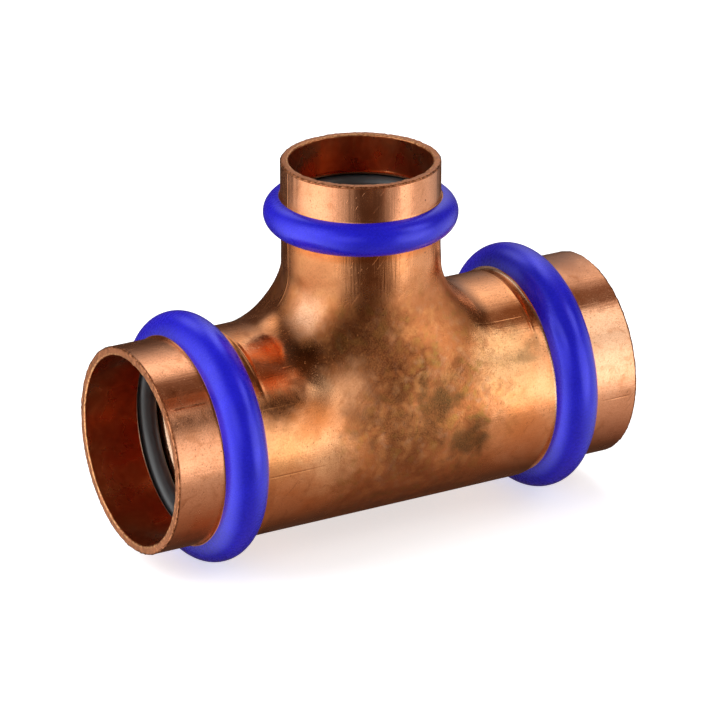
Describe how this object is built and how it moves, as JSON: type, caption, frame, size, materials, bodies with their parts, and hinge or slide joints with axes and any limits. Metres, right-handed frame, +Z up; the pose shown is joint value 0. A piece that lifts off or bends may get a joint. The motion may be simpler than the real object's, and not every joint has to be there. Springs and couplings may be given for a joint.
{
  "type": "press fit reducing tee",
  "caption": "Copper press-fit reducing tee: a straight run with a smaller branch, each socket with a rolled bead, a rubber sealing ring and a blue indicator band.",
  "frame": {"origin": "where the centre lines of the run and the branch cross", "axes": "+X along the run to its right socket, +Z up the branch, +Y to the back"},
  "size_m": [0.0706, 0.034, 0.0516],
  "materials": {
    "copper": "bare formed copper, semi-gloss, with draw lines and faint tarnish",
    "seal_rubber": "smooth black rubber with a thin film of lubricant",
    "blue_band": "smooth glossy blue plastic sleeve"
  },
  "bodies": {
    "root": {"tee_body": "copper", "run_seal_left": "seal_rubber", "run_seal_right": "seal_rubber", "branch_seal": "seal_rubber", "run_band_left": "blue_band", "run_band_right": "blue_band", "branch_band": "blue_band"}
  },
  "joints": []
}
